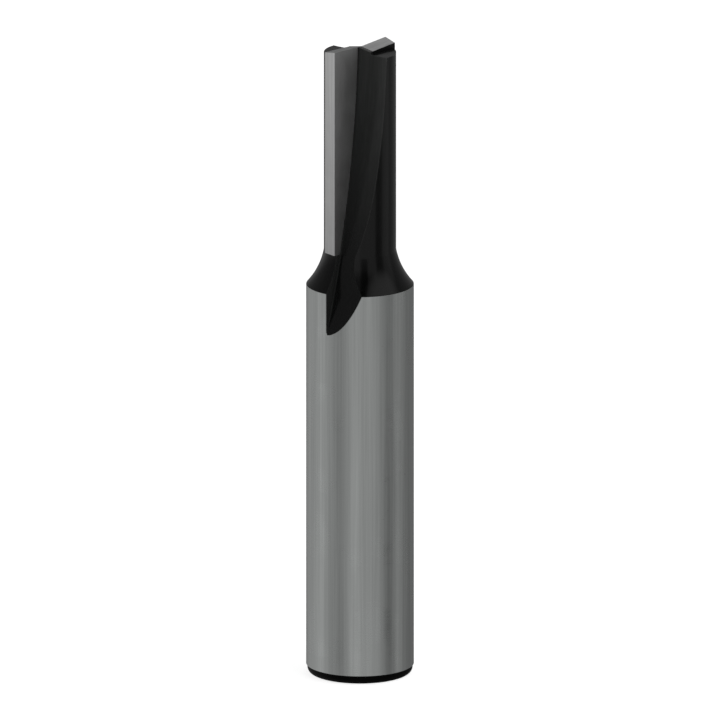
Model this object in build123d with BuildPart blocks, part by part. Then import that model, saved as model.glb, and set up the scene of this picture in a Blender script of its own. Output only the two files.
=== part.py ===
from build123d import *
import os
from math import radians, tan

# Straight two-flute router bit: a steel body with two brazed carbide tips, for right-hand rotation.
# Millimetres. Z runs up the axis, from the shank's end face to the cutting end.
# Both cutting edges lie in the XZ plane, one on each side of the axis.

# Shank, a sliding fit in a collet
shank_diameter = 8.0
shank_length = 29.8  # from the end face to the edge of the flare
foot_step = 0.08  # the foot is this much smaller in radius than the ground length
foot_height = 0.67
foot_taper = 0.04  # how much the foot narrows in radius from the step down to the end face
foot_rounding = 0.42

# Flare from the shank to the head, one concave arc that meets the head at a slight angle
head_diameter = 5.37
flare_height = 2.7
flare_arc_radius = 5.5

# Carbide tips: rectangular plates, ground on the outside and at the end after brazing
cutting_diameter = 6.0
cutting_length = 15.63  # from the tip's lower end to the corner of its cutting edge
tip_thickness = 1.16
tip_to_axis = 0.08  # the inner ends of the two tips stop just short of each other
tip_overhang = 0.53  # how far the corner of the cutting edge stands above the steel
side_relief_angle = 14.5
end_relief_angle = 9.6
dish_angle = 2.8  # the end cutting edge falls towards the axis

# Flutes, each cut by one plunge of a large wheel with its flat side in the plane of the cutting edges
wheel_radius = 75.0
wheel_centre_above_end = 2.8
half_web = 0.14  # from the axis to the deepest line of the flute's floor
root_radius = 0.1  # corner between the wall and the floor

# Worked out from the sizes above
shank_radius = shank_diameter / 2
head_radius = head_diameter / 2
cutting_radius = cutting_diameter / 2
foot_radius = shank_radius - foot_step
seat_height = shank_length + flare_height  # the tips stand where the flare meets the head
end_height = seat_height + cutting_length - tip_overhang
web_height = seat_height + cutting_length - cutting_radius * tan(radians(dish_angle))
web_fall = tip_thickness * tan(radians(end_relief_angle))

# Wheel that cuts a flute. Its flat side makes the wall and its rim makes the floor, so the floor
# rises towards the shank in one long arc and runs out through the flare.
with BuildPart() as flute_wheel:
    with BuildSketch(Plane.XZ):
        with Locations((-half_web - wheel_radius, end_height + wheel_centre_above_end)):
            Circle(wheel_radius)
    extrude(amount=shank_diameter)
    wheel_corner = flute_wheel.edges().filter_by(GeomType.CIRCLE).sort_by(Axis.Y)[-1]
    fillet(wheel_corner, root_radius)

# Slot for a tip, open to the outside and to the end. The tip fills its width.
with BuildPart() as tip_slot:
    with BuildSketch(Plane.XY.offset(seat_height)):
        with Locations((tip_to_axis, 0)):
            Rectangle(head_diameter, tip_thickness, align=(Align.MIN, Align.MAX))
    extrude(amount=cutting_length)

# Web between the tips. It stands above the steel's end as high as the inner ends of the tips, and
# falls to both sides with their end relief. The flutes and the slots trim it to its width.
with BuildPart() as centre_web:
    with BuildSketch(Plane.YZ):
        with BuildLine():
            Polyline(
                (-tip_thickness, seat_height),
                (-tip_thickness, web_height - web_fall),
                (0, web_height),
                (tip_thickness, web_height - web_fall),
                (tip_thickness, seat_height),
                close=True,
            )
        make_face()
    extrude(amount=tip_thickness / 2, both=True)

# Steel body: one turned profile, then the foot is rounded and the flutes and slots are cut
with BuildPart() as cutter_body:
    with BuildSketch(Plane.XZ):
        with BuildLine():
            Polyline(
                (0, 0),
                (foot_radius - foot_taper, 0),
                (foot_radius, foot_height),
                (shank_radius, foot_height),
                (shank_radius, shank_length),
            )
            RadiusArc((shank_radius, shank_length), (head_radius, seat_height), flare_arc_radius)
            Polyline((head_radius, seat_height), (head_radius, end_height), (0, end_height), (0, 0))
        make_face()
    revolve(axis=Axis.Z)
    foot_edge = cutter_body.edges().filter_by(GeomType.CIRCLE).sort_by(Axis.Z)[0]
    fillet(foot_edge, foot_rounding)
    add(centre_web.part)
    with PolarLocations(0, 2):
        add(flute_wheel.part, mode=Mode.SUBTRACT)
        add(tip_slot.part, mode=Mode.SUBTRACT)

# Plane of a tip's ground end: through the corner of the cutting edge, falling to the axis by the dish
# and to the tip's back by the end relief
tip_end = Plane(
    origin=(cutting_radius, 0, seat_height + cutting_length),
    z_dir=(-tan(radians(dish_angle)), -tan(radians(end_relief_angle)), 1),
)

# Carbide tip. Its rake face is in the XZ plane and looks to +Y, and its outside is ground back
# behind the cutting edge by the side relief.
with BuildPart() as carbide_tip_1:
    with BuildSketch(Plane.XY.offset(seat_height)):
        with BuildLine():
            Polyline(
                (tip_to_axis, 0),
                (cutting_radius, 0),
                (cutting_radius - tip_thickness * tan(radians(side_relief_angle)), -tip_thickness),
                (tip_to_axis, -tip_thickness),
                close=True,
            )
        make_face()
    extrude(amount=cutting_length)
    split(bisect_by=tip_end, keep=Keep.BOTTOM)

# The second tip is the first one turned half round the axis
with BuildPart() as carbide_tip_2:
    add(carbide_tip_1.part, rotation=(0, 0, 180))

cutter_body.part.label = "cutter_body"
carbide_tip_1.part.label = "carbide_tip_1"
carbide_tip_2.part.label = "carbide_tip_2"

os.makedirs("parts", exist_ok=True)
export_step(cutter_body.part, "parts/cutter_body.step")
export_step(carbide_tip_1.part, "parts/carbide_tip_1.step")
export_step(carbide_tip_2.part, "parts/carbide_tip_2.step")
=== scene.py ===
# %% [markdown]
# # A straight router bit, dressed for its photograph
# The bit is three pieces: one turned steel body and two carbide tips brazed into its slots.
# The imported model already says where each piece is, so this script only makes finer meshes in the
# same places, gives them their finishes, and sets up a floor, a studio and a camera.

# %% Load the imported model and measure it
import bmesh
import bpy
from math import atan2, cos, pi, radians, sin, sqrt, tan
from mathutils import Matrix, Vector
from mathutils.kdtree import KDTree


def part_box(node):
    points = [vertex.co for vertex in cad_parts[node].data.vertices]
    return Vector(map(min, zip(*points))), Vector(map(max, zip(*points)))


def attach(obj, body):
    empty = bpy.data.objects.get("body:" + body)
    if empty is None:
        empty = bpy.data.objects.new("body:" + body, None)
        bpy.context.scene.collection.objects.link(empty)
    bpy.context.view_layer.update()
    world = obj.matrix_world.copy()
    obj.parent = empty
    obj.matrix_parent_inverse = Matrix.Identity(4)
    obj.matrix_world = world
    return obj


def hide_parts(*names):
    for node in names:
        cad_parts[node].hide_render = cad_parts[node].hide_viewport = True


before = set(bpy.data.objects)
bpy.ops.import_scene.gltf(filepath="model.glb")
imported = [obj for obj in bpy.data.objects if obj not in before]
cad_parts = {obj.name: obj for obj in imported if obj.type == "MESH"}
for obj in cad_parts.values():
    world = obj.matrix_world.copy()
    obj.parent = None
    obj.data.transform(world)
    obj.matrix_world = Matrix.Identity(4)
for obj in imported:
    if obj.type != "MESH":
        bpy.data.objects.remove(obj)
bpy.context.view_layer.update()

MM = 0.001  # the meshes are worked out in millimetres and scaled once, at the end

body_low, body_high = (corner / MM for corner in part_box("cutter_body"))
tip_low, tip_high = (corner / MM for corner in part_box("carbide_tip_1"))
shank_radius = round(body_high.x, 3)
web_height = round(body_high.z, 3)  # the steel between the two tips stands highest
seat_height = round(tip_low.z, 3)  # the tips stand here, where the flare meets the head
cutting_radius = round(tip_high.x, 3)
cutting_corner = round(tip_high.z, 3)
tip_thickness = round(tip_high.y - tip_low.y, 3)
tip_to_axis = round(tip_low.x, 3)
tip_overhang = 0.53  # how far the corner of a cutting edge stands above the steel's flat end
steel_end = round(cutting_corner - tip_overhang, 3)
print("shank radius", shank_radius, "cutting radius", cutting_radius, "tip thickness", tip_thickness)

# %% [markdown]
# ## A skin over rings of points
# The turned body, the cutter that makes a flute, the slots and the tips are all the same kind of
# form: one closed ring of points after another, joined by a skin. A helper that skins any list of
# rings makes them all, with four-sided faces and a cap at each end, so every solid is closed.

# %% Helpers for rings and arcs


def skin(name, rings):
    """A closed solid over rings with the same number of points, from the first ring to the last."""
    shape = bmesh.new()
    rows = [[shape.verts.new(point) for point in ring] for ring in rings]
    for row, next_row in zip(rows, rows[1:]):
        for index in range(len(row)):
            beside = (index + 1) % len(row)
            shape.faces.new((row[index], row[beside], next_row[beside], next_row[index]))
    shape.faces.new(rows[0])
    shape.faces.new(rows[-1])
    bmesh.ops.recalc_face_normals(shape, faces=shape.faces)
    mesh = bpy.data.meshes.new(name)
    shape.to_mesh(mesh)
    shape.free()
    solid = bpy.data.objects.new(name, mesh)
    bpy.context.scene.collection.objects.link(solid)
    return solid


def arc(centre, radius, first, last, steps):
    """Points of a circular arc between two angles in radians."""
    angles = (first + (last - first) * step / steps for step in range(steps + 1))
    return [(centre[0] + radius * cos(angle), centre[1] + radius * sin(angle)) for angle in angles]


# %% [markdown]
# ## The turned blank
# On the real bit the shank, the flare and the head are turned from one bar in one setting.
# Cylinders and cones could be stacked, but every joint between them would show. Swinging one
# outline round the axis is what the lathe does, and it leaves one clean skin. The outline is a
# list of (radius, height) points: the rounded foot, the step up to the ground shank, the hollow
# arc of the flare, and the head.

# %% Outline of the blank
head_radius = 2.685
flare_height = 2.7
flare_arc_radius = 5.5
flare_steps = 20
foot_step = 0.08  # the foot is this much smaller in radius than the shank
foot_height = 0.67
foot_taper = 0.04  # how much the foot narrows in radius down to its end face
foot_rounding = 0.42
foot_steps = 10
shank_length = seat_height - flare_height

foot_radius = shank_radius - foot_step
foot_slope = atan2(foot_taper, foot_height)
foot_centre_radius = foot_radius - foot_taper - foot_rounding * (1 / cos(foot_slope) - tan(foot_slope))
outline = arc((foot_centre_radius, foot_rounding), foot_rounding, -pi / 2, -foot_slope, foot_steps)
outline += [(foot_radius, foot_height), (shank_radius, foot_height)]

flare_start = Vector((shank_radius, shank_length))
flare_end = Vector((head_radius, seat_height))
flare_run = flare_end - flare_start
to_centre = sqrt(flare_arc_radius**2 - (flare_run.length / 2) ** 2)
flare_centre = (flare_start + flare_end) / 2 + to_centre * Vector((flare_run.y, -flare_run.x)).normalized()
flare_spokes = (flare_start - flare_centre, flare_end - flare_centre)
flare_angles = [atan2(spoke.y, spoke.x) % (2 * pi) for spoke in flare_spokes]
outline += arc(flare_centre, flare_arc_radius, *flare_angles, flare_steps)
outline.append((head_radius, steel_end))
print("outline points", len(outline))

# %% [markdown]
# Each point of the outline becomes one ring. The first point of a ring stands half a step off the
# X axis, so that no corner of the blank lies in the plane of the cutting edges. A cutter whose
# flat side passes exactly through corners can leave cracks there.

# %% Turn the blank
ring_points = 192


def circle(radius, height):
    """One ring of the blank."""
    turns = (2 * pi * (point + 0.5) / ring_points for point in range(ring_points))
    return [(radius * cos(turn), radius * sin(turn), height) for turn in turns]


cutter_body = skin("cutter_body_ground", [circle(*point) for point in outline])
print("blank faces", len(cutter_body.data.polygons))

# %% [markdown]
# ## The web between the tips
# The end of the bit is ground when the tips are in place, so the thin web of steel between them
# stands as high as they do and falls to both sides with the same relief. It could be left standing
# by cutting the flat end around it. Adding a small roof-shaped block is simpler, and the cuts that
# follow trim it to its width. Its ridge is a flat a few thousandths wide, again so that no corner
# lies in the plane of the cutting edges.

# %% Cutting and joining, and the web
end_relief = radians(9.6)
ridge = 0.002  # half the width of the flat on the web's ridge
web_foot = steel_end - tip_thickness


def apply_modifiers(piece):
    """Replaces the piece's mesh by what its modifiers make of it."""
    bpy.context.view_layer.update()
    shown = piece.evaluated_get(bpy.context.evaluated_depsgraph_get())
    finished = bpy.data.meshes.new_from_object(shown)
    piece.modifiers.clear()
    piece.data = finished


def combine(piece, tool, operation):
    """DIFFERENCE cuts the tool's shape from the piece, and UNION joins it on."""
    step = piece.modifiers.new("combine", "BOOLEAN")
    step.operation = operation
    step.solver = "EXACT"
    step.object = tool
    apply_modifiers(piece)


web_side = web_height - tip_thickness * tan(end_relief)
web_section = [(-tip_thickness, web_foot), (-tip_thickness, web_side), (-ridge, web_height)]
web_section += [(-y, z) for y, z in reversed(web_section)]
half_block = tip_thickness / 2
web = skin("web", [[(x, y, z) for y, z in web_section] for x in (-half_block, half_block)])
combine(cutter_body, web, "UNION")
bpy.data.objects.remove(web)
print("faces with the web", len(cutter_body.data.polygons))

# %% [markdown]
# ## The flutes
# A flute is cut by one plunge of a large grinding wheel. The wheel's flat side makes the wall in
# the plane of the cutting edges, and its rim makes the floor, which rises towards the shank in
# one long arc and runs out through the flare. A modelled groove would only copy that shape. A
# Boolean with the wheel itself gives it, run-out and all, and needs only the wheel's size and
# place. Only the stretch of rim that meets the bit is made, in fine steps.

# %% Wheel cutter
wheel_radius = 75.0
wheel_above_end = 2.8  # how far the wheel's centre stands above the steel's end
half_web = 0.14  # from the axis to the deepest line of the flute's floor
root_radius = 0.1  # corner between the wall and the floor
root_steps = 3
wheel_depth = 12.0  # how much of the wheel is made, from its rim inwards
wheel_steps = 128
wheel_first, wheel_last = radians(-26), radians(6)  # the stretch of rim that meets the bit
past_the_bit = 8.0  # a cutter reaches at least this far, to pass right through the steel

corner_arc = arc((wheel_radius - root_radius, -root_radius), root_radius, pi / 2, 0, root_steps)
wheel_section = [(wheel_radius - wheel_depth, 0)] + corner_arc
wheel_section += [(wheel_radius, -past_the_bit), (wheel_radius - wheel_depth, -past_the_bit)]
wheel_centre_x = -half_web - wheel_radius
wheel_centre_height = steel_end + wheel_above_end


def wheel_ring(angle):
    """The wheel's section at one angle round its centre."""
    return [
        (wheel_centre_x + reach * cos(angle), side, wheel_centre_height + reach * sin(angle))
        for reach, side in wheel_section
    ]


wheel_step = (wheel_last - wheel_first) / wheel_steps
wheel_rings = [wheel_ring(wheel_first + step * wheel_step) for step in range(wheel_steps + 1)]
flute_wheel = skin("flute_wheel", wheel_rings)
print("wheel faces", len(flute_wheel.data.polygons))

# %% [markdown]
# ## The slots
# Each tip sits in a square slot that opens to the outside of the head and to its end. A cube could
# be scaled and moved to cut it. Two rings with the tip's own sizes need no fitting, so the tip is
# sure to fill its slot.

# %% Slot cutter
slot_outline = [
    (tip_to_axis, -tip_thickness),
    (past_the_bit, -tip_thickness),
    (past_the_bit, 0),
    (tip_to_axis, 0),
]
slot_heights = (seat_height, steel_end + past_the_bit)
slot_cutter = skin("slot_cutter", [[(x, y, z) for x, y in slot_outline] for z in slot_heights])
print("slot cutter faces", len(slot_cutter.data.polygons))

# %% [markdown]
# ## The cuts
# Each cutter is used twice, and is turned half round the axis in between, as the bit would be
# turned in its holder. Cutting one half and mirroring it would be wrong here: a mirrored flute
# would cut the other way round. The open edges are counted after the cuts, because a Boolean that
# went wrong leaves some.

# %% Cut both flutes and both slots
for cutter in (flute_wheel, slot_cutter):
    for half_turns in (0, 1):
        cutter.rotation_euler.z = half_turns * pi
        combine(cutter_body, cutter, "DIFFERENCE")
    bpy.data.objects.remove(cutter)
print("faces after the cuts", len(cutter_body.data.polygons))


def open_edges(piece):
    """How many edges are open, which is none on a closed solid, and the volume in cubic mm."""
    shape = bmesh.new()
    shape.from_mesh(piece.data)
    count = sum(not edge.is_manifold for edge in shape.edges)
    volume = shape.calc_volume()
    shape.free()
    return count, volume


print("open edges and volume", open_edges(cutter_body))

# %% [markdown]
# ## Edges that catch the light
# No edge on the real bit is a perfect corner: each is broken by a few hundredths of a millimetre,
# and shows as a thin bright line. A bevel makes that line, but points closer together than its
# width would tangle it. So the points on the edges are put in order first. Faces in one plane are
# joined, loose points close beside an edge are taken out, and points crowded along an edge are
# merged with each other, which keeps every one of them on the true edge.

# %% Put the points along the edges in order
point_spacing = 0.03  # points on an edge are at least this far from each other
sharp_from = radians(20)  # an edge that turns by more than this is broken
same_plane = radians(0.2)


def tidy_edges(piece):
    """Thins out the points on and beside the sharp edges."""
    shape = bmesh.new()
    shape.from_mesh(piece.data)
    bmesh.ops.dissolve_limit(shape, angle_limit=same_plane, verts=shape.verts, edges=shape.edges)
    sharp = [edge for edge in shape.edges if edge.calc_face_angle(0) > sharp_from]
    on_edges = dict.fromkeys(point for edge in sharp for point in edge.verts)
    nearest = KDTree(len(on_edges))
    for index, point in enumerate(on_edges):
        nearest.insert(point.co, index)
    nearest.balance()
    beside = [point for point in shape.verts if point not in on_edges]
    loose = [point for point in beside if nearest.find(point.co)[2] < point_spacing]
    bmesh.ops.dissolve_verts(shape, verts=loose)
    on_edges = [point for point in on_edges if point.is_valid]
    bmesh.ops.remove_doubles(shape, verts=on_edges, dist=point_spacing)
    shape.to_mesh(piece.data)
    shape.free()


# %% [markdown]
# The bevel then runs along every edge that turns by more than the facets of a round face do.
# Weighted normals keep the large faces flat, so that only the narrow bevels bend the light.

# %% Break the edges
steel_edge = 0.02


def break_edges(piece, width):
    """Gives every sharp edge a narrow bevel."""
    tidy_edges(piece)
    piece.data.shade_smooth()
    bevel = piece.modifiers.new("broken edges", "BEVEL")
    bevel.width = width
    bevel.segments = 2
    bevel.limit_method = "ANGLE"
    bevel.angle_limit = sharp_from
    bevel.use_clamp_overlap = False
    normals = piece.modifiers.new("flat faces", "WEIGHTED_NORMAL")
    normals.keep_sharp = True
    apply_modifiers(piece)


def to_metres(piece):
    """Puts the piece's place and the change to metres into its mesh, so its object sits at the origin."""
    piece.data.transform(piece.matrix_world)
    piece.matrix_world.identity()
    for vertex in piece.data.vertices:
        vertex.co *= MM


break_edges(cutter_body, steel_edge)
print("open edges and volume after the bevel", open_edges(cutter_body))
to_metres(cutter_body)
print("faces of the body", len(cutter_body.data.polygons))

# %% [markdown]
# ## The carbide tips
# Each tip is a flat plate that fills its slot. After brazing, its outside is ground back behind
# the cutting edge by the side relief, and its end falls to the back and to the axis. A scaled
# cube has none of these slopes. Four corners and a height for each say exactly what was ground,
# and the second tip is the first one turned half round the axis.

# %% Grind the two tips
side_relief = radians(14.5)
dish = radians(2.8)
carbide_edge = 0.012

tip_outline = [
    (tip_to_axis, 0),
    (tip_to_axis, -tip_thickness),
    (cutting_radius - tip_thickness * tan(side_relief), -tip_thickness),
    (cutting_radius, 0),
]


def ground_end(x, y):
    """Height of the tip's ground end above a point of its outline."""
    return cutting_corner + tan(dish) * (x - cutting_radius) + tan(end_relief) * y


lower_ring = [(x, y, seat_height) for x, y in tip_outline]
upper_ring = [(x, y, ground_end(x, y)) for x, y in tip_outline]
tips = []
for number in (1, 2):
    tip = skin(f"carbide_tip_{number}_ground", [lower_ring, upper_ring])
    tip.rotation_euler.z = (number - 1) * pi
    break_edges(tip, carbide_edge)
    to_metres(tip)
    tips.append(tip)
print("faces of a tip", len(tips[0].data.polygons))

# %% [markdown]
# ## Helpers for finishes
# A finish is a small network of shader nodes. Every node could be made, set and linked in lines of
# its own, but then a simple recipe fills a page. Here one call makes a node with its settings,
# inputs and links. The steps that come back in many recipes get short names as they turn up.

# %% Helpers for shader nodes


def feed(tree, node, inputs):
    """Fills a node's inputs. A plain value is set, and another node's output socket is linked."""
    for name, value in inputs.items():
        if isinstance(value, bpy.types.NodeSocket):
            tree.links.new(value, node.inputs[name])
        else:
            node.inputs[name].default_value = value
    return node


def add(tree, kind, inputs=None, **settings):
    """One new node with its settings and inputs."""
    node = tree.nodes.new("ShaderNode" + kind)
    for name, value in settings.items():
        setattr(node, name, value)
    return feed(tree, node, inputs or {})


# %% [markdown]
# An effect that several finishes share becomes a group with named inputs and an output of its own.
# It is made once and placed in each material with that material's values.

# %% Helpers for groups


def new_group(name, inputs, output):
    """An empty group, the sockets that stand for its inputs, and the one for its output."""
    tree = bpy.data.node_groups.new(name, "ShaderNodeTree")
    for socket, (kind, value) in inputs.items():
        made = tree.interface.new_socket(socket, in_out="INPUT", socket_type="NodeSocket" + kind)
        made.default_value = value
    tree.interface.new_socket(output, in_out="OUTPUT", socket_type="NodeSocketFloat")
    return tree, tree.nodes.new("NodeGroupInput").outputs, tree.nodes.new("NodeGroupOutput").inputs[0]


def place(tree, group, inputs):
    """A group, placed in a material with its own values."""
    return add(tree, "Group", inputs, node_tree=group).outputs[0]


# %% [markdown]
# ## Tool marks
# Grinding leaves fine parallel lines: round the shank, across the end of a tip, along its outside.
# An image could hold them, but it would have to be unwrapped round every form. A noise whose space
# is squeezed makes lines on any face: high numbers pack it along an axis, low ones draw it out.
# Fine and coarse lines are laid over each other, as on a surface ground in two passes.

# %% Group: tool marks


def calculate(tree, operation, first, second):
    """What a Math node makes of two values."""
    return add(tree, "Math", {0: first, 1: second}, operation=operation).outputs[0]


tool_marks, given, result = new_group(
    "Tool Marks",
    {"Vector": ("Vector", (0, 0, 0)), "Squeeze": ("Vector", (1, 1, 1))},
    "Lines",
)
packed = add(tool_marks, "VectorMath", {0: given["Vector"], 1: given["Squeeze"]}, operation="MULTIPLY")
coarse = add(tool_marks, "TexNoise", {"Vector": packed.outputs[0], "Scale": 1, "Detail": 2})
fine = add(tool_marks, "TexNoise", {"Vector": packed.outputs[0], "Scale": 4.3, "Detail": 3})
both = calculate(tool_marks, "ADD", coarse.outputs[0], fine.outputs[0])
tool_marks.links.new(calculate(tool_marks, "MULTIPLY", both, 0.5), result)
print("group", tool_marks.name, "takes", given.keys())

# %% [markdown]
# ## Handling
# A tool that has been held, oiled and wiped is never evenly bright. Soft cloudy patches in the
# roughness break up a reflection without changing the colour. They are a few millimetres across,
# so they need a low scale and some finer detail within them.

# %% Group: handling patches


def fade(tree, value, nothing_at, full_at, level=1):
    """A soft rise from nothing, at one value, to the level, at another."""
    limits = {"From Min": nothing_at, "From Max": full_at, "To Max": level}
    return add(tree, "MapRange", {"Value": value, **limits}, interpolation_type="SMOOTHSTEP").outputs[0]


handling, given, result = new_group(
    "Handling",
    {"Vector": ("Vector", (0, 0, 0)), "Size": ("Float", 3.0)},
    "Patches",
)
per_patch = calculate(handling, "DIVIDE", 1.0, given["Size"])
cloudy = {"Detail": 4, "Distortion": 0.6}
clouds = add(handling, "TexNoise", {"Vector": given["Vector"], "Scale": per_patch, **cloudy})
handling.links.new(fade(handling, clouds.outputs[0], 0.3, 0.7), result)
print("group", handling.name, "takes", given.keys())

# %% [markdown]
# ## Worn edges
# A coating rubs through first where an edge stands proud. The Bevel node knows the normal that a
# rounded edge would have; where it leaves the true normal there is an edge. Painting wear by hand
# would mean finding every edge, and this mask finds them by itself. A noise makes it uneven.

# %% Group: worn edges


def agreement(tree, first, second):
    """1 where two directions agree, and less the more they differ."""
    return add(tree, "VectorMath", {0: first, 1: second}, operation="DOT_PRODUCT").outputs["Value"]


worn_edges, given, result = new_group(
    "Worn Edges",
    {"Vector": ("Vector", (0, 0, 0)), "Width": ("Float", 0.08 * MM)},
    "Mask",
)
rounded = add(worn_edges, "Bevel", {"Radius": given["Width"]}, samples=6).outputs[0]
straight = add(worn_edges, "NewGeometry").outputs["Normal"]
as_flat = agreement(worn_edges, rounded, straight)
near_edge = add(worn_edges, "MapRange", {"Value": as_flat, "From Min": 0.995, "From Max": 0.9})
breaks = add(worn_edges, "TexNoise", {"Vector": given["Vector"], "Scale": 2.5, "Detail": 3})
uneven = calculate(worn_edges, "MULTIPLY", near_edge.outputs[0], breaks.outputs[0])
worn_edges.links.new(uneven, result)
print("group", worn_edges.name, "takes", given.keys())

# %% [markdown]
# ## Painted light by height
# The head, the floor of a flute and the carbide are drawn darker near the seat of the tips and
# lighter towards the end of the steel. That is painted light, standing in for how the light falls
# along them. A level that rises with the height does it for all of them, so it is a group too, with
# the level at the seat of the tips and at the end of the steel.

# %% Group: painted light by height
light_by_height, given, result = new_group(
    "Painted Light By Height",
    {"Vector": ("Vector", (0, 0, 0)), "At Seat": ("Float", 1.0), "At End": ("Float", 1.0)},
    "Level",
)
height = add(light_by_height, "SeparateXYZ", {0: given["Vector"]}).outputs["Z"]
heights = {"From Min": seat_height, "From Max": steel_end}
levels = {"To Min": given["At Seat"], "To Max": given["At End"]}
level = add(light_by_height, "MapRange", {"Value": height, **heights, **levels})
light_by_height.links.new(level.outputs[0], result)
print("group", light_by_height.name, "takes", given.keys())

# %% [markdown]
# ## What every material shares
# Blender gives a new material a shader that is ready to use. The coordinates come from the piece
# itself and not from an unwrapped image, so every finish runs on across edges without a seam. They
# are turned into millimetres once, because grinding lines and oil patches are easier to judge in
# millimetres than in metres.

# %% Helpers for materials
mark_depth = 0.01 * MM  # how deep a tool mark is where its bump has full strength


def scale(tree, vector, factor):
    """A place or a colour times a number."""
    return add(tree, "VectorMath", {0: vector, "Scale": factor}, operation="SCALE").outputs[0]


def new_material(name):
    """A material, its network, its shader, and the places on the piece in millimetres."""
    material = bpy.data.materials.new(name)
    material.use_nodes = True
    tree = material.node_tree
    here = scale(tree, add(tree, "TexCoord").outputs["Object"], 1 / MM)
    return material, tree, tree.nodes["Principled BSDF"], here


def vary(tree, value, low, high):
    """A value from 0 to 1, spread between two others."""
    return add(tree, "MapRange", {"Value": value, "To Min": low, "To Max": high}).outputs[0]


def marked(tree, lines, strength):
    """The normal of a surface with tool marks in it."""
    return add(tree, "Bump", {"Height": lines, "Strength": strength, "Distance": mark_depth}).outputs[0]


# %% [markdown]
# ## Ground steel
# The shank is centreless ground, which leaves rings so fine that the eye sees them as a soft,
# slightly green grey. Rings spread a reflection up and down the shank and keep it narrow sideways,
# so lamps and dark gaps of the studio show as long soft bands. The shader's anisotropy does that,
# with its tangent running round the axis. Noise alone could only fake the bands.

# %% Material: ground steel
steel_grey = (0.49, 0.507, 0.499)

ground_steel, tree, shader, here = new_material("ground_steel")
rings = place(tree, tool_marks, {"Vector": here, "Squeeze": (0.12, 0.12, 6.0)})
streaks = place(tree, tool_marks, {"Vector": here, "Squeeze": (1.5, 1.5, 0.02)})
patches = place(tree, handling, {"Vector": here, "Size": 4.0})
round_the_axis = add(tree, "Tangent", direction_type="RADIAL", axis="Z").outputs[0]
feed(tree, shader, {
    "Base Color": scale(tree, steel_grey, vary(tree, streaks, 0.6, 1.4)),
    "Roughness": vary(tree, calculate(tree, "ADD", rings, patches), 0.2, 0.3),
    "Normal": marked(tree, rings, 0.1),
    "Tangent": round_the_axis,
    "Metallic": 1,
    "Anisotropic": 0.7,
})
print("ground steel is made of", len(tree.nodes), "nodes")

# %% [markdown]
# ## Black coating
# Head, flare and foot were blackened before the shank was ground. The coating is thin and follows
# the turned and ground steel under it, so it needs the same fine lines, faint streaks along the
# bit, a gloss that oil has left uneven, and a hint of wear along the edges. The head, the flare
# and the floor of a flute are glossy. Painted light makes the floor lighter towards the end and the
# head darker towards the seat. The wall of a flute is dull where the wheel's flat side rubbed it, and
# the root beside it hardly reflects. The five colours are partly the coating's own and partly painted
# light and shade, set from how bright each kind of face looks. The foot is drawn the deepest black,
# partly its coating and partly painted shade. One recipe with a few values makes all five. Edges in
# a hollow aren't rubbed, so the wall and the root have no wear.

# %% Materials: black coating
coating = (0.0075, 0.0078, 0.0076)
oiled = (0.1, 0.18)  # roughness of the glossy faces, between wet and wiped patches


def black_finish(name, colour, roughness, gloss, light_at_seat_and_end=(1, 1), wear=9):
    """The pair of levels after the gloss is painted light: how light the coating is drawn at the seat of
    the tips and at the end of the steel.
    """
    material, tree, shader, here = new_material(name)
    turned = place(tree, tool_marks, {"Vector": here, "Squeeze": (0.3, 0.3, 4.0)})
    streaks = place(tree, tool_marks, {"Vector": here, "Squeeze": (1.6, 1.6, 0.04)})
    edges = place(tree, worn_edges, {"Vector": here, "Width": 0.1 * MM})
    painted_light = place(tree, light_by_height, {"Vector": here, "At Seat": light_at_seat_and_end[0], "At End": light_at_seat_and_end[1]})
    oil = place(tree, handling, {"Vector": here, "Size": 1.6})
    streaky = calculate(tree, "MULTIPLY", vary(tree, streaks, 0.4, 1.6), painted_light)
    level = calculate(tree, "ADD", streaky, vary(tree, edges, 0, wear))
    feed(tree, shader, {
        "Base Color": scale(tree, colour, level),
        "Roughness": vary(tree, oil, *roughness),
        "Normal": marked(tree, turned, 0.15),
        "Specular IOR Level": gloss,
    })
    return material


# Each colour below is partly the coating's own and partly painted light and shade; the pairs of levels
# paint light by height on the head and the floor.
black_head = black_finish("black_head", coating, oiled, gloss=0.25, light_at_seat_and_end=(0.4, 0.9))
black_flute = black_finish("black_flute", coating, oiled, gloss=0.25, light_at_seat_and_end=(0.7, 3.5))
black_wall = black_finish("black_wall", (0.017, 0.0175, 0.017), (0.35, 0.45), gloss=0.3, wear=0)
black_root = black_finish("black_root", (0.013, 0.0132, 0.013), (0.4, 0.5), gloss=0.1, wear=0)
# The foot's near-black is partly its coating and partly painted shade.
black_foot = black_finish("black_foot", (0.0008, 0.0008, 0.0008), (0.4, 0.5), gloss=0.05)

# %% [markdown]
# ## Carbide
# Carbide is a metal-like grey that shows its grinding plainly. Each face was ground another way.
# The outside and the end were finished last and are bright, with lines along them. The rake face
# was lapped and is duller, with hardly a line. The back, which stands in shade above the steel, and
# the faces in the slot are drawn near-black, as painted shade. So a tip has four finishes, one for
# each kind of face, from one recipe.

# %% Materials: carbide


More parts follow.
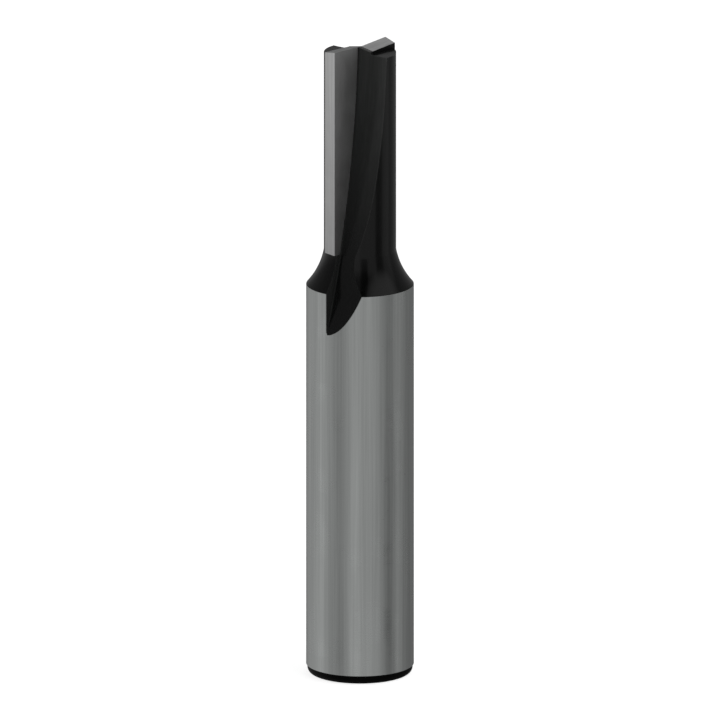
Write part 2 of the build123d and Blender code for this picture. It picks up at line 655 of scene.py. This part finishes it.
def carbide_finish(name, grey, squeeze, contrast, roughness, depth):
    """squeeze lays the grinding lines; contrast is theirs in the colour, and depth in the bump."""
    material, tree, shader, here = new_material(name)
    lines = place(tree, tool_marks, {"Vector": here, "Squeeze": squeeze})
    patches = place(tree, handling, {"Vector": here, "Size": 1.2})
    # Painted light: the carbide is drawn darker at the seat and lighter towards the end, for how the light
    # falls along a tip.
    painted_light = place(tree, light_by_height, {"Vector": here, "At Seat": 0.84, "At End": 1.12})
    level = calculate(tree, "MULTIPLY", vary(tree, lines, 1 - contrast, 1 + contrast), painted_light)
    feed(tree, shader, {
        "Base Color": scale(tree, (grey, grey, grey), level),
        "Roughness": vary(tree, patches, *roughness),
        "Normal": marked(tree, lines, depth),
        "Metallic": 1,
    })
    return material


carbide_outside = carbide_finish("carbide_outside", 0.59, (3.0, 3.0, 0.05), 0.4, (0.3, 0.38), 0.3)
carbide_end = carbide_finish("carbide_end", 0.42, (0.4, 4.0, 1.0), 0.4, (0.34, 0.42), 0.5)
carbide_rake = carbide_finish("carbide_rake", 0.47, (2.0, 1.0, 0.3), 0.12, (0.55, 0.62), 0.2)
# Painted shade: the back of a tip and its faces in the slot are drawn near-black.
carbide_painted_shade = carbide_finish("carbide_painted_shade", 0.02, (2.0, 2.0, 2.0), 0.15, (0.45, 0.55), 0.4)

# %% [markdown]
# ## Each face gets its finish
# The finishes change exactly along edges of the mesh, so each face is asked where it lies and
# which way it looks. A mask in the shader could do the same, but it would blur where the real
# border is crisp. The way a face looks is its normal: 1 along an axis is straight along it, and 0
# is square to it.

# %% Where each finish lies on the body
face_room = 0.01  # how far from its true place a face may lie and still count, in millimetres
wall_from, root_from, floor_below = 0.99, 0.2, 0.02  # how much these faces look to the side
flat_from = 0.9  # how much the flat end looks up


def body_finish(centre, normal):
    """The finish of a face of the body, with its centre in millimetres."""
    from_axis = centre.xy.length
    if centre.z < foot_height + face_room and from_axis < shank_radius - face_room:
        return black_foot
    if centre.z < shank_length and from_axis > shank_radius - face_room:
        return ground_steel
    from_wall, sideways = abs(centre.y), abs(normal.y)
    if from_wall <= root_radius + face_room and sideways >= root_from:
        return black_wall if sideways > wall_from else black_root
    if from_wall > root_radius and sideways < floor_below and abs(normal.z) < flat_from:
        return black_flute
    return black_head


# %% Where each finish lies on a tip, and all are given out
faces_from = 0.5  # a tip's end looks up and its rake face to the side by at least this much


def tip_finish(centre, normal):
    """The finish of a face of a tip, with its centre in millimetres."""
    side = 1 if centre.x > 0 else -1
    at_back = side * centre.y < -tip_thickness + face_room
    at_inner_end = side * centre.x < tip_to_axis + face_room
    if at_back or at_inner_end or centre.z < seat_height + face_room:
        return carbide_painted_shade
    if normal.z > faces_from:
        return carbide_end
    return carbide_rake if side * normal.y > faces_from else carbide_outside


def give_finishes(piece, finishes, finish_of):
    """Gives each face its finish, and says how many faces each finish has."""
    piece.data.materials.clear()
    for finish in finishes:
        piece.data.materials.append(finish)
    for face in piece.data.polygons:
        face.material_index = finishes.index(finish_of(face.center / MM, face.normal))
    given_out = [face.material_index for face in piece.data.polygons]
    return {finish.name: given_out.count(number) for number, finish in enumerate(finishes)}


body_finishes = [ground_steel, black_head, black_wall, black_root, black_foot, black_flute]
print("body faces", give_finishes(cutter_body, body_finishes, body_finish))
tip_finishes = [carbide_outside, carbide_end, carbide_rake, carbide_painted_shade]
for tip in tips:
    print("tip faces", give_finishes(tip, tip_finishes, tip_finish))

# %% [markdown]
# ## The floor
# The bit stands on white paper that glows from below, as on a light table. The picture has a pure
# white ground without a shadow, and light from below is what makes it: it fills the shadow and
# lights the bit from all sides. Polished metal would show such a bright floor as a hard band, so
# the floor is kept out of mirror reflections.

# %% Floor
floor_half = 3000
floor_thickness = 20
table_glow = 0.82
paper_white = (0.93, 0.93, 0.93)

floor_corners = [(-floor_half, -floor_half), (floor_half, -floor_half)]
floor_corners += [(-x, -y) for x, y in floor_corners]
floor = skin("floor", [[(x, y, z) for x, y in floor_corners] for z in (-floor_thickness, 0)])
to_metres(floor)
floor.visible_glossy = False

floor_paper, tree, shader, here = new_material("floor_paper")
grain = place(tree, handling, {"Vector": here, "Size": 40.0})
feed(tree, shader, {
    "Base Color": scale(tree, paper_white, vary(tree, grain, 0.985, 1.0)),
    "Roughness": 0.9,
    "Specular IOR Level": 0,
    "Emission Color": (1, 1, 1, 1),
    "Emission Strength": table_glow,
})
floor.data.materials.append(floor_paper)
print("floor faces", len(floor.data.polygons))

# %% [markdown]
# ## The studio
# A ground cylinder shows its surroundings as upright bands, one beside the other. So the light is
# planned backwards: each bright or dark band on the shank says from which direction the light
# came. Area lamps could stand at those places, but each would need its own size, distance and
# strength. Here the world itself is the studio. A dim wall goes all round, tall panels of light
# and narrow dark gaps are added by direction, and two soft lamps hang higher up: one for the
# flare, one for the ground ends of the tips. A level below zero takes light away. So does a dark
# stand beside the camera, which shows only in the flare, as a black streak beside the flute.

# %% What stands in the studio
wall_level = 0.2
panels = [
    # direction, half width at full light, half width where it ends, height of its top (degrees), level
    (115, 24, 62, 10, 0.27),
    (126, 4, 16, 10, 0.15),
    (180, 5, 14, 10, 0.1),
    (-130, 36, 44, 42, 0.27),
    (-152, 5, 14, 42, 0.12),
    (-82, 6, 14, 42, -0.08),
    (-51, 7, 19, 42, 0.21),
]
panel_edge = radians(20)  # a panel's light fades over this height
lamps = [
    # direction, height, half width at full light, half width where it ends (degrees), level
    (-70, 50, 10, 34, 0.6),
    (34, 42, 10, 24, 0.38),
]
dark_stand = (-128, 0, 6, 13, -0.36)  # the same values as a lamp's
stand_foot, stand_full = radians(-5), radians(20)  # the stand rises softly between these heights


def pointing(azimuth, elevation):
    """The direction at two angles in radians."""
    level_part = cos(elevation)
    return Vector((level_part * cos(azimuth), level_part * sin(azimuth), sin(elevation)))


# %% [markdown]
# A panel or the stand reaches as high as its own limits say, so it is placed by the compass
# bearing of a direction alone. A lamp is round, and is placed by the direction itself.

# %% Studio
world = bpy.data.worlds.new("studio")
bpy.context.scene.world = world
world.use_nodes = True
tree = world.node_tree
direction = add(tree, "TexCoord").outputs["Generated"]
flat = add(tree, "VectorMath", {0: direction, 1: (1, 1, 0)}, operation="MULTIPLY").outputs[0]
bearing = add(tree, "VectorMath", {0: flat}, operation="NORMALIZE").outputs[0]
height = add(tree, "SeparateXYZ", {0: direction}).outputs["Z"]


def soft_light(seen, azimuth, elevation, full, ends, level):
    """Light that is full near one direction and fades to nothing around it, in degrees."""
    towards = pointing(radians(azimuth), radians(elevation))
    return fade(tree, agreement(tree, seen, towards), cos(radians(ends)), cos(radians(full)), level)


light = wall_level
for azimuth, full, ends, top, level in panels:
    panel = soft_light(bearing, azimuth, 0, full, ends, level)
    below_top = fade(tree, height, sin(radians(top)), sin(radians(top) - panel_edge))
    light = calculate(tree, "ADD", light, calculate(tree, "MULTIPLY", panel, below_top))
for lamp in lamps:
    light = calculate(tree, "ADD", light, soft_light(direction, *lamp))
stand = soft_light(bearing, *dark_stand)
above_foot = fade(tree, height, sin(stand_foot), sin(stand_full))
light = calculate(tree, "ADD", light, calculate(tree, "MULTIPLY", stand, above_foot))
never_negative = calculate(tree, "MAXIMUM", light, 0)
feed(tree, tree.nodes["Background"], {"Color": (1, 1, 1, 1), "Strength": never_negative})
print("studio:", len(panels), "panels,", len(lamps), "lamps and a dark stand")

# %% [markdown]
# ## The camera
# In the picture the sides of the shank are parallel, and the rim of the flare is an ellipse a
# quarter as high as it is wide. So the view has no perspective, and it looks down by 15 degrees.
# An orthographic camera with the measured direction and width gives the same outline.

# %% Camera
view_azimuth = radians(-141.1)
view_elevation = radians(15)
aim = Vector((0, 0, 0.02391))
view_width = 0.05342
camera_distance = 0.4

outward = pointing(view_azimuth, view_elevation)
camera_data = bpy.data.cameras.new("camera")
camera_data.type = "ORTHO"
camera_data.ortho_scale = view_width
camera = bpy.data.objects.new("camera", camera_data)
bpy.context.scene.collection.objects.link(camera)
camera.location = aim + camera_distance * outward
camera.rotation_euler = (-outward).to_track_quat("-Z", "Y").to_euler()
bpy.context.scene.camera = camera
bpy.context.scene.view_settings.view_transform = "Standard"
print("camera at", [round(value, 4) for value in camera.location])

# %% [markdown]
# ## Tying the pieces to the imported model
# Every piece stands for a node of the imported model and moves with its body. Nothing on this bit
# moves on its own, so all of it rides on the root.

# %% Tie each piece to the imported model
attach(cutter_body, "root")
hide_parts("cutter_body")
for number, tip in enumerate(tips, start=1):
    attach(tip, "root")
    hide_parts(f"carbide_tip_{number}")
